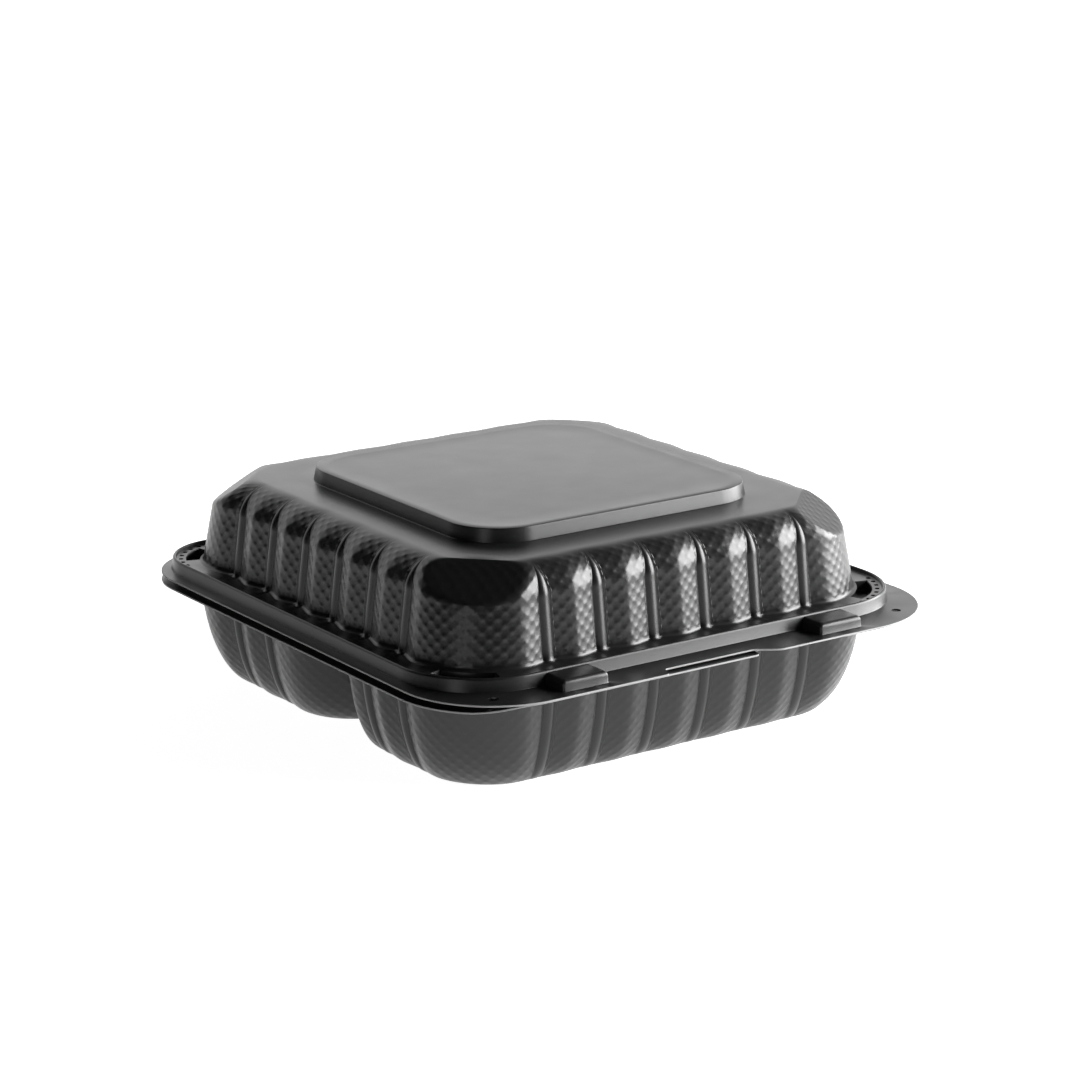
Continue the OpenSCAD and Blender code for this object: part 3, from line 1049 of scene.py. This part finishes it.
    def _add_flange(self, sheet: FormedSheet) -> None:
        """The flange with its lip, holes and trimmed edge, and both faces of the bead.

        Args:
            sheet: The lid's sheet.
        """
        rim, latch = self.rim, self.latch
        sheet.wall([(bead_ring(inset), z) for inset, z in rim.bead_profile])
        inner = bead_ring(LEVEL.sheet)
        sheet.wall([(inner, LEVEL.lid_under), (inner, LEVEL.strip_top - LEVEL.sheet)], flip=True)
        edge = trimmed_edge(PLAN.flange_front, self.cut)
        sheet.wall([(xy, LEVEL.lid_top + z) for xy, z in edge], cut=True)
        rounds = [circle(s * rim.hole_offset, -PLAN.flange_front + rim.hole_setback, rim.hole_radius)
                  for s in (-1, 1)]
        for hole in rounds:
            sheet.wall([(hole, LEVEL.lid_under), (hole, LEVEL.lid_top)], flip=True)
        for up, ring, z, inset in (
            (True, bead_ring(rim.bead_profile[0][0]), LEVEL.lid_top, -latch.foot_flare),
            (False, inner, LEVEL.lid_under, LEVEL.sheet),
        ):
            boxes = [latch.outline(side, inset, latch.root) for side in (-1, 1)]
            sheet.fill(edge[0][0], [ring, *rounds, *boxes], z, up=up)

    def _add_latches(self, sheet: FormedSheet) -> None:
        """Both faces of the two latch boxes.

        Args:
            sheet: The lid's sheet.
        """
        latch = self.latch
        faces = ((latch.outer_face(), latch.root, False), (latch.inner_face(), latch.under_root, True))
        for side in (-1, 1):
            for face, root, flip in faces:
                sheet.wall([(latch.outline(side, inset, root), z) for inset, z in face], flip=flip, cap=True)

    def build(self) -> bpy.types.Object:
        """Makes the lid.

        Returns:
            The lid's object.
        """
        sheet = FormedSheet()
        self._add_flange(sheet)
        self._add_strip(sheet)
        self._add_latches(sheet)
        self._add_dome(sheet)
        return sheet.build("lid_sheet")


@dataclass(frozen=True)
class CupSizes:
    """The three compartments of the tray."""

    lean: float = 0.1
    divider_lean: float = 0.7
    straight: float = 9.0
    round_run: float = 7.5
    divider_corner: float = 20.0
    divide_y: float = -7.0
    half_top: float = 1.6
    pebble_fade: float = 0.3


@dataclass(frozen=True)
class NestSizes:
    """The tray's bead, under the lid's bead, and the lip in front of it.

    The bead's insets are from the lid bead's outer face, and its profile has distances inward
    from either side and drops from its top.
    """

    outer: float = 1.0
    inner: float = 3.8
    fillet: float = 0.3
    profile: Profile = ((0.0, 0.8), (0.15, 0.35), (0.5, 0.08), (1.0, 0.0))
    lip_half: float = 93.0
    lip_run: float = 20.0
    lip_back: float = -70.0
    lip_setback: float = 2.5
    lip_folds: int = 8


class Tray(FormedPart):
    """The tray: flange with its raised lip, nesting bead, tongues and three ribbed compartments."""

    body = "base_body"
    node = "base"

    def __init__(self) -> None:
        """Takes the tray's sizes and works out its three compartments."""
        self.cup = CupSizes()
        self.nest = NestSizes()
        self.latch = LatchSizes()
        self.pattern = WallPattern(bay_points=14, arc_points=20)
        self.cut = LipCut(18.0, 48.0, 4.5, 2.0, 6.0)
        (x, y), d, t = PLAN.cup, self.cup.divide_y, self.cup.half_top
        self.cups: list[tuple[Box, tuple[bool, ...]]] = [
            ((-x, -y, x, d - t), (True, False, True, True)),
            ((-x, d + t, -t, y), (False, True, True, False)),
            ((t, d + t, x, y), (True, True, False, False)),
        ]

    def _outline(self, box: Box, outer: tuple[bool, ...]) -> RibbedOutline:
        """One compartment's outline, with the ribs that clear its inner corners.

        Args:
            box: Left, front, right and back of its walls.
            outer: For each side, whether it is a ribbed outer wall.

        Returns:
            The outline.
        """
        keep = self.cup.divider_corner + self.pattern.rib_width / 2
        ribs = []
        for side in Side:
            across = side in (Side.BACK, Side.FRONT)
            low, high = (box[0], box[2]) if across else (box[1], box[3])
            before, behind = (Side.LEFT, Side.RIGHT) if across else (Side.FRONT, Side.BACK)
            low, high = low + (0 if outer[before] else keep), high - (0 if outer[behind] else keep)
            ribs.append([p for p in self.pattern.places if low < p < high])
        return RibbedOutline(self.pattern, ribs, outer)

    def _cup_ring(self, outline: RibbedOutline, box: Box, inset: float, scale: float, skin: float) -> Ring:
        """One compartment's outline at one level.

        Args:
            outline: The compartment's outline.
            box: Left, front, right and back of its walls at the top.
            inset: Distance inward.
            scale: Share of the full swell.
            skin: Distance inward from the outer face.

        Returns:
            The outline.
        """
        outer = outline.outer
        by = [(1 if outer[q] else self.cup.divider_lean) * inset + skin
              for q in (Side.LEFT, Side.FRONT, Side.RIGHT, Side.BACK)]
        front, back = PLAN.cup_radii
        radii = [(radius if outer[q] and outer[(q + 1) % 4] else self.cup.divider_corner) - skin
                 for q, radius in enumerate((back, back, front, front))]
        return outline.ring((box[0] + by[0], box[1] + by[1], box[2] - by[2], box[3] - by[3]), radii, scale)

    def _cup_levels(self, skin: float) -> list[tuple[float, float, float]]:
        """Height, inset and swell of each ring of a compartment.

        Args:
            skin: Distance inward from the outer face.

        Returns:
            The levels, from the top down.
        """
        cup, top = self.cup, LEVEL.base_top
        levels = [(top - (0 if skin else LEVEL.sheet), 0.0, 1.0)]
        levels += [(top - depth, cup.lean * depth, 1.0) for depth in (1.5, 3.0, 4.5)]
        for a in np.linspace(0, 90, 20):
            sine, cosine = math.sin(math.radians(a)), math.cos(math.radians(a))
            depth = cup.straight + (top - cup.straight) * sine
            inset = cup.lean * depth + cup.round_run * (1 - cosine)
            levels.append((top - depth + skin * sine, inset, 1 - (a / 90) ** 3))
        return levels

    def _add_cups(self, sheet: FormedSheet) -> list[list[np.ndarray]]:
        """Both faces of the compartments.

        Args:
            sheet: The tray's sheet.

        Returns:
            Each compartment's top outlines, outside and inside.
        """
        tops = []
        for box, outer in self.cups:
            outline = self._outline(box, outer)
            pair = []
            for skin, flip in ((0.0, True), (LEVEL.sheet, False)):
                rings, pebble = [], []
                levels = self._cup_levels(skin)
                for climb, (z, inset, scale) in zip(climbs(levels), levels):
                    ring = self._cup_ring(outline, box, inset, scale, skin)
                    rings.append(flat_ring(ring.xy, z))
                    pebble.append(ring.marks(climb, float(smooth(scale / self.cup.pebble_fade))))
                pair.append(rings[0][:, :2])
                floor = rings[-1][:, :2]
                middle = floor.mean(0)
                for f in (0.85, 0.5, 0.002):
                    rings.append(flat_ring(middle + (floor - middle) * f, rings[-1][0, 2]))
                    pebble.append(pebble[-1] * (1, 1, 0))
                sheet.grid(np.array(rings), np.array(pebble), flip=flip)
            tops.append(pair)
        return tops

    def _lip_height(self, top: float) -> Callable[[np.ndarray], np.ndarray]:
        """Height of the flange, which rises towards the lid's lip between its front corners.

        Args:
            top: The height away from the lip.

        Returns:
            A function from points to heights.
        """
        nest, lift = self.nest, LEVEL.base_lip - LEVEL.base_top

        def height(xy: np.ndarray) -> np.ndarray:
            """Height at some points of the plan."""
            rise = smooth((nest.lip_half - np.abs(xy[:, 0])) / nest.lip_run)
            return top + lift * rise * (xy[:, 1] < nest.lip_back)

        return height

    def _add_flange(self, sheet: FormedSheet) -> None:
        """Both faces of the flange, with its trimmed edge and its lip.

        Args:
            sheet: The tray's sheet.
        """
        nest, skin = self.nest, LEVEL.sheet
        edge = trimmed_edge(PLAN.flange_front - nest.lip_setback, self.cut)
        sheet.wall([(xy, self._lip_height(LEVEL.base_top + z)(xy)) for xy, z in edge], cut=True)
        folds = []
        for k in range(nest.lip_folds + 1):
            x = nest.lip_half - nest.lip_run + nest.lip_run * k / nest.lip_folds
            folds += [np.array([[s * x, -113.0], [s * x, nest.lip_back]]) for s in (-1, 1)]
        for up, inset, low in ((True, nest.outer - nest.fillet, 0.0), (False, nest.outer + skin, -skin)):
            ring, height = bead_ring(inset), self._lip_height(LEVEL.base_top + low)
            sheet.fill(edge[0][0], [ring], height, up=up, folds=folds)
            if up:
                sheet.wall([(ring, height(ring)), (bead_ring(nest.outer), height(ring) + nest.fillet)])

    def _add_bead(self, sheet: FormedSheet) -> None:
        """Both faces of the bead under the lid's bead.

        Args:
            sheet: The tray's sheet.
        """
        nest, skin = self.nest, LEVEL.sheet
        top, low = LEVEL.base_bead_top, LEVEL.base_top
        rings = [(nest.outer, low), *((nest.outer + i, top - drop) for i, drop in nest.profile)]
        rings += [*((nest.inner - i, top - drop) for i, drop in reversed(nest.profile)), (nest.inner, low)]
        sheet.wall([(bead_ring(inset), z) for inset, z in rings])
        sides = (nest.outer + skin, nest.inner - skin)
        under = [(sides[0], low - skin), (sides[0], top - skin),
                 (sides[1], top - skin), (sides[1], low - skin)]
        sheet.wall([(bead_ring(inset), z) for inset, z in under], flip=True)

    def _add_deck(self, sheet: FormedSheet, tops: Sequence[Sequence[np.ndarray]]) -> None:
        """Both faces of the deck between the bead and the compartments.

        Args:
            sheet: The tray's sheet.
            tops: Each compartment's top outlines, outside and inside.
        """
        for k, skin in enumerate((LEVEL.sheet, 0.0)):
            cups = [pair[k] for pair in tops]
            sheet.fill(bead_ring(self.nest.inner - skin), cups, LEVEL.base_top - skin, up=not skin)

    def _add_tongues(self, sheet: FormedSheet) -> None:
        """The two tongues that stand in the lid's latch boxes.

        Args:
            sheet: The tray's sheet.
        """
        latch = self.latch
        for side in (-1, 1):
            levels = [(latch.outline(side, inset, latch.clearance), z) for inset, z in latch.tongue()]
            sheet.wall(levels, cap=True)

    def build(self) -> bpy.types.Object:
        """Makes the tray.

        Returns:
            The tray's object.
        """
        sheet = FormedSheet()
        self._add_flange(sheet)
        self._add_bead(sheet)
        tops = self._add_cups(sheet)
        self._add_deck(sheet, tops)
        self._add_tongues(sheet)
        return sheet.build("tray_sheet")


@dataclass(frozen=True)
class HingeSizes:
    """The living hinge along the back."""

    length: float = 140.0
    crease_y: float = 103.3
    run: float = 2.8
    radius: float = 0.45
    core_setback: float = 0.25
    core_radius: float = 0.1
    overlap: float = 0.02


class HingeWeb:
    """The thin fold that joins the tray to the lid along the back."""

    def __init__(self) -> None:
        """Takes the fold's sizes."""
        self.sizes = HingeSizes()

    def build(self) -> bpy.types.Object:
        """Makes the fold.

        Returns:
            The fold's object.
        """
        s = self.sizes
        root = s.crease_y - s.run
        arc = np.radians(np.linspace(-70, 70, 9))
        outer = [(root, LEVEL.base_top - LEVEL.sheet + s.overlap)]
        outer += [(s.crease_y + s.radius * math.cos(a), LEVEL.hinge + s.radius * math.sin(a)) for a in arc]
        outer += [(root, LEVEL.lid_top - s.overlap)]
        core, r = s.crease_y - s.core_setback, s.core_radius
        inner = [(root, LEVEL.base_top)]
        inner += [(core + r * math.cos(a), LEVEL.hinge + r * math.sin(a)) for a in arc]
        inner += [(root, LEVEL.lid_under)]
        profile = np.array(outer + inner[::-1])
        places = np.linspace(-s.length / 2, s.length / 2, 57)
        rings = [np.column_stack([np.full(len(profile), x), profile]) for x in places]
        sheet = FormedSheet()
        sheet.grid(np.array(rings), flip=True)
        return sheet.build("hinge_web")

    def dress(self, piece: bpy.types.Object, finish: "PlasticFinish") -> None:
        """Gives the fold its finish and bakes its placement into its mesh.

        Args:
            piece: The fold's object.
            finish: The plastic.
        """
        finish.apply(piece)
        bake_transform(piece)


@dataclass(frozen=True)
class PlasticFinish:
    """Black mineral-filled plastic: satin, with pebbled bays, and trimmed edges painted pale grey as a
    highlight.
    """

    name: str = "formed_plastic"
    colour: Colour = (0.012, 0.012, 0.0122)
    roughness: float = 0.31
    roughness_spread: float = 0.03
    cloud_scale: float = 90.0
    grain_scale: float = 2600.0
    grain_height: float = 0.00002
    pebble_length: float = 4.6
    pebble_row: float = 4.3
    pebble_height: float = 0.00012
    specular: float = 0.45
    # Pale grey painted on the trimmed edges as a highlight.
    painted_edge_highlight: Colour = (0.4, 0.4, 0.4)
    edge_roughness: float = 0.5

    def apply(self, piece: bpy.types.Object) -> None:
        """Gives a piece the plastic, and as its second slot the pale grey of the trimmed edges, a painted
        highlight.

        Args:
            piece: The piece.
        """
        for name, fill in ((self.name, self._face), (self.name + "_edge", self._edge)):
            material = bpy.data.materials.get(name)
            if material is None:
                material = bpy.data.materials.new(name)
                material.use_nodes = True
                fill(material.node_tree, material.node_tree.nodes["Principled BSDF"])
            piece.data.materials.append(material)

    def _edge(self, tree: bpy.types.NodeTree, shader: bpy.types.Node) -> None:
        """Sets the look of a trimmed edge: a pale grey that paints the highlight along it.

        Args:
            tree: The material's nodes; not used.
            shader: Its principled shader.
        """
        # Pale grey base colour: the painted highlight along the trimmed edges.
        shader.inputs["Base Color"].default_value = (*self.painted_edge_highlight, 1.0)
        shader.inputs["Roughness"].default_value = self.edge_roughness

    def _face(self, tree: bpy.types.NodeTree, shader: bpy.types.Node) -> None:
        """Sets the look of the formed faces.

        Args:
            tree: The material's nodes.
            shader: Its principled shader.
        """
        shader.inputs["Base Color"].default_value = (*self.colour, 1.0)
        shader.inputs["Specular IOR Level"].default_value = self.specular
        place = tree.nodes.new("ShaderNodeTexCoord")
        spread = tree.nodes.new("ShaderNodeMapRange")
        spread.inputs["To Min"].default_value = self.roughness - self.roughness_spread
        spread.inputs["To Max"].default_value = self.roughness + self.roughness_spread
        tree.links.new(self._noise(tree, place, self.cloud_scale), spread.inputs["Value"])
        tree.links.new(spread.outputs["Result"], shader.inputs["Roughness"])
        grain = self._bump(tree, self._noise(tree, place, self.grain_scale), self.grain_height)
        pebbles = self._bump(tree, self._lattice(tree), self.pebble_height)
        tree.links.new(grain.outputs["Normal"], pebbles.inputs["Normal"])
        tree.links.new(pebbles.outputs["Normal"], shader.inputs["Normal"])

    @staticmethod
    def _bump(tree: bpy.types.NodeTree, height: bpy.types.NodeSocket, distance: float) -> bpy.types.Node:
        """Adds a bump node.

        Args:
            tree: The material's nodes.
            height: The socket with its height.
            distance: The height, in metres, that 1 stands for.

        Returns:
            The node.
        """
        bump = tree.nodes.new("ShaderNodeBump")
        bump.inputs["Distance"].default_value = distance
        tree.links.new(height, bump.inputs["Height"])
        return bump

    @staticmethod
    def _noise(tree: bpy.types.NodeTree, place: bpy.types.Node, scale: float) -> bpy.types.NodeSocket:
        """Adds a noise over the piece's own coordinates.

        Args:
            tree: The material's nodes.
            place: The node that gives the coordinates.
            scale: How fine the noise is.

        Returns:
            Its value.
        """
        noise = tree.nodes.new("ShaderNodeTexNoise")
        noise.inputs["Scale"].default_value = scale
        noise.inputs["Detail"].default_value = 3.0
        tree.links.new(place.outputs["Object"], noise.inputs["Vector"])
        return noise.outputs["Fac"]

    def _lattice(self, tree: bpy.types.NodeTree) -> bpy.types.NodeSocket:
        """Staggered rows of pebbles from the bay coordinates, times their mask.

        Args:
            tree: The material's nodes.

        Returns:
            The height of the pebbles, from 0 to 1.
        """
        source = tree.nodes.new("ShaderNodeAttribute")
        source.attribute_name = PEBBLE
        split = tree.nodes.new("ShaderNodeSeparateXYZ")
        tree.links.new(source.outputs["Vector"], split.inputs["Vector"])
        waves = []
        for axis, length in (("X", self.pebble_length), ("Y", self.pebble_row)):
            turn = node_math(tree, "MULTIPLY", split.outputs[axis], 2 * math.pi / length)
            waves.append(node_math(tree, "COSINE", turn))
        lattice = node_math(tree, "MULTIPLY", *waves)
        raised = node_math(tree, "MULTIPLY", node_math(tree, "ADD", lattice, 1.0), 0.5)
        dots = node_math(tree, "POWER", raised, 2.0)
        return node_math(tree, "MULTIPLY", dots, split.outputs["Z"])


@dataclass(frozen=True)
class CameraSettings:
    """Where the photo was taken from."""

    azimuth: float = -34.88
    elevation: float = 15.67
    target: Point = (0.0, 0.004, 0.0561)
    distance: float = 1.141
    lens: float = 108.8
    shift: tuple[float, float] = (0.0115, -0.0050)

    def build(self) -> bpy.types.Object:
        """Makes the camera and sets it as the scene's own.

        Returns:
            The camera object.
        """
        data = bpy.data.cameras.new("camera")
        data.lens = self.lens
        data.sensor_width = 36.0
        data.shift_x, data.shift_y = self.shift
        data.clip_start, data.clip_end = 0.01, 20.0
        a, e = math.radians(self.azimuth), math.radians(self.elevation)
        back = Vector((math.sin(a) * math.cos(e), -math.cos(a) * math.cos(e), math.sin(e)))
        camera = place_object("camera", data)
        camera.location = Vector(self.target) + back * self.distance
        turn_towards(camera, -back)
        bpy.context.scene.camera = camera
        return camera


@dataclass(frozen=True)
class SoftBox:
    """One soft lamp of the studio."""

    name: str
    place: Point
    aim: Point
    size: tuple[float, float]
    power: float

    def build(self) -> None:
        """Makes the lamp."""
        light = bpy.data.lights.new(self.name, "AREA")
        light.shape = "RECTANGLE"
        light.size, light.size_y = self.size
        light.energy = self.power
        lamp = place_object(self.name, light)
        lamp.visible_camera = False
        lamp.location = self.place
        turn_towards(lamp, Vector(self.aim) - Vector(self.place))


@dataclass(frozen=True)
class MatteCard:
    """A flat, matte card of the studio: the floor, or a dark card that the camera doesn't see."""

    name: str
    corners: tuple[Point, ...]
    tone: float = 0.02
    seen: bool = False

    def build(self) -> bpy.types.NodeTree:
        """Makes the card.

        Returns:
            The nodes of its material.
        """
        mesh = bpy.data.meshes.new(self.name)
        mesh.from_pydata(self.corners, [], [tuple(range(len(self.corners)))])
        card = place_object(self.name, mesh)
        card.visible_camera = self.seen
        material = bpy.data.materials.new(self.name)
        material.use_nodes = True
        tree = material.node_tree
        tree.nodes.remove(tree.nodes["Principled BSDF"])
        cloth = tree.nodes.new("ShaderNodeBsdfDiffuse")
        cloth.inputs["Color"].default_value = (self.tone, self.tone, self.tone, 1.0)
        tree.links.new(cloth.outputs[0], tree.nodes["Material Output"].inputs["Surface"])
        mesh.materials.append(material)
        card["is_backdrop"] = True
        return tree


@dataclass
class Studio:
    """Pale floor, white surroundings, soft lamps and dark cards."""

    lamps: list[SoftBox] = field(default_factory=lambda: [
        SoftBox("key_right", (0.96, -0.53, 0.36), (0.0, 0.0, 0.04), (1.2, 0.75), 41.0),
        SoftBox("back_right", (0.75, 1.07, 0.36), (0.0, 0.0, 0.06), (0.9, 0.34), 0.8),
        SoftBox("fill_left", (-1.15, -0.65, 0.35), (0.0, 0.0, 0.04), (0.3, 0.5), 1.0),
    ])
    cards: list[MatteCard] = field(default_factory=lambda: [
        MatteCard(name, corners) for name, corners in (
            ("flag_over", ((-1.3, -1.3, 1.3), (1.3, -1.3, 1.3), (1.3, 1.3, 1.3), (-1.3, 1.3, 1.3))),
            ("flag_left", ((-1.3, -1.3, 0.0), (-1.3, 1.9, 0.0), (-1.3, 1.9, 1.3), (-1.3, -1.3, 1.3))),
            ("flag_front", ((-1.3, -1.3, 0.0), (0.7, -1.3, 0.0), (0.7, -1.3, 1.3), (-1.3, -1.3, 1.3))),
        )
    ])
    floor: MatteCard = MatteCard("floor", ((-8, -8, 0), (8, -8, 0), (8, 8, 0), (-8, 8, 0)), 0.85, True)
    surround: float = 0.10
    floor_glow: float = 0.96

    @staticmethod
    def _seen_by_view(tree: bpy.types.NodeTree) -> bpy.types.NodeSocket:
        """Tells what is seen from what is lit.

        Args:
            tree: The nodes to add to.

        Returns:
            1 for camera, glossy and transmission rays.
        """
        path = tree.nodes.new("ShaderNodeLightPath")
        total = path.outputs["Is Camera Ray"]
        for name in ("Is Glossy Ray", "Is Transmission Ray"):
            total = node_math(tree, "MAXIMUM", total, path.outputs[name])
        return total

    def build(self) -> None:
        """Makes the world, the floor, the lamps and the cards."""
        world = bpy.data.worlds.new("studio")
        bpy.context.scene.world = world
        world.use_nodes = True
        tree = world.node_tree
        background = tree.nodes["Background"]
        background.inputs["Color"].default_value = (1.0, 1.0, 1.0, 1.0)
        span = tree.nodes.new("ShaderNodeMapRange")
        span.inputs["To Min"].default_value = self.surround
        span.inputs["To Max"].default_value = 1.0
        tree.links.new(self._seen_by_view(tree), span.inputs["Value"])
        tree.links.new(span.outputs["Result"], background.inputs["Strength"])
        self._add_glow(self.floor.build())
        for item in (*self.lamps, *self.cards):
            item.build()

    def _add_glow(self, tree: bpy.types.NodeTree) -> None:
        """Makes the floor's material look nearly white to the camera and in reflections.

        Args:
            tree: The nodes of the floor's material.
        """
        glow = tree.nodes.new("ShaderNodeEmission")
        glow.inputs["Color"].default_value = (1.0, 1.0, 1.0, 1.0)
        strength = node_math(tree, "MULTIPLY", self._seen_by_view(tree), self.floor_glow)
        tree.links.new(strength, glow.inputs["Strength"])
        add = tree.nodes.new("ShaderNodeAddShader")
        surface = tree.nodes["Material Output"].inputs["Surface"]
        tree.links.new(surface.links[0].from_socket, add.inputs[0])
        tree.links.new(glow.outputs[0], add.inputs[1])
        tree.links.new(add.outputs[0], surface)


def corners() -> list[list[float]]:
    """The lowest and highest corner of what is shown, as plain numbers."""
    return [[float(v) for v in corner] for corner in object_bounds()]


def main() -> None:
    """Builds the scene around the frame."""
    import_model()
    finish = PlasticFinish()
    for part in (Lid(), Tray(), HingeWeb()):
        part.dress(part.build(), finish)
    CameraSettings().build()
    Studio().build()
    bpy.context.scene.view_settings.view_transform = "Standard"


if __name__ == "__main__":
    logging.basicConfig(level=logging.INFO)
    main()
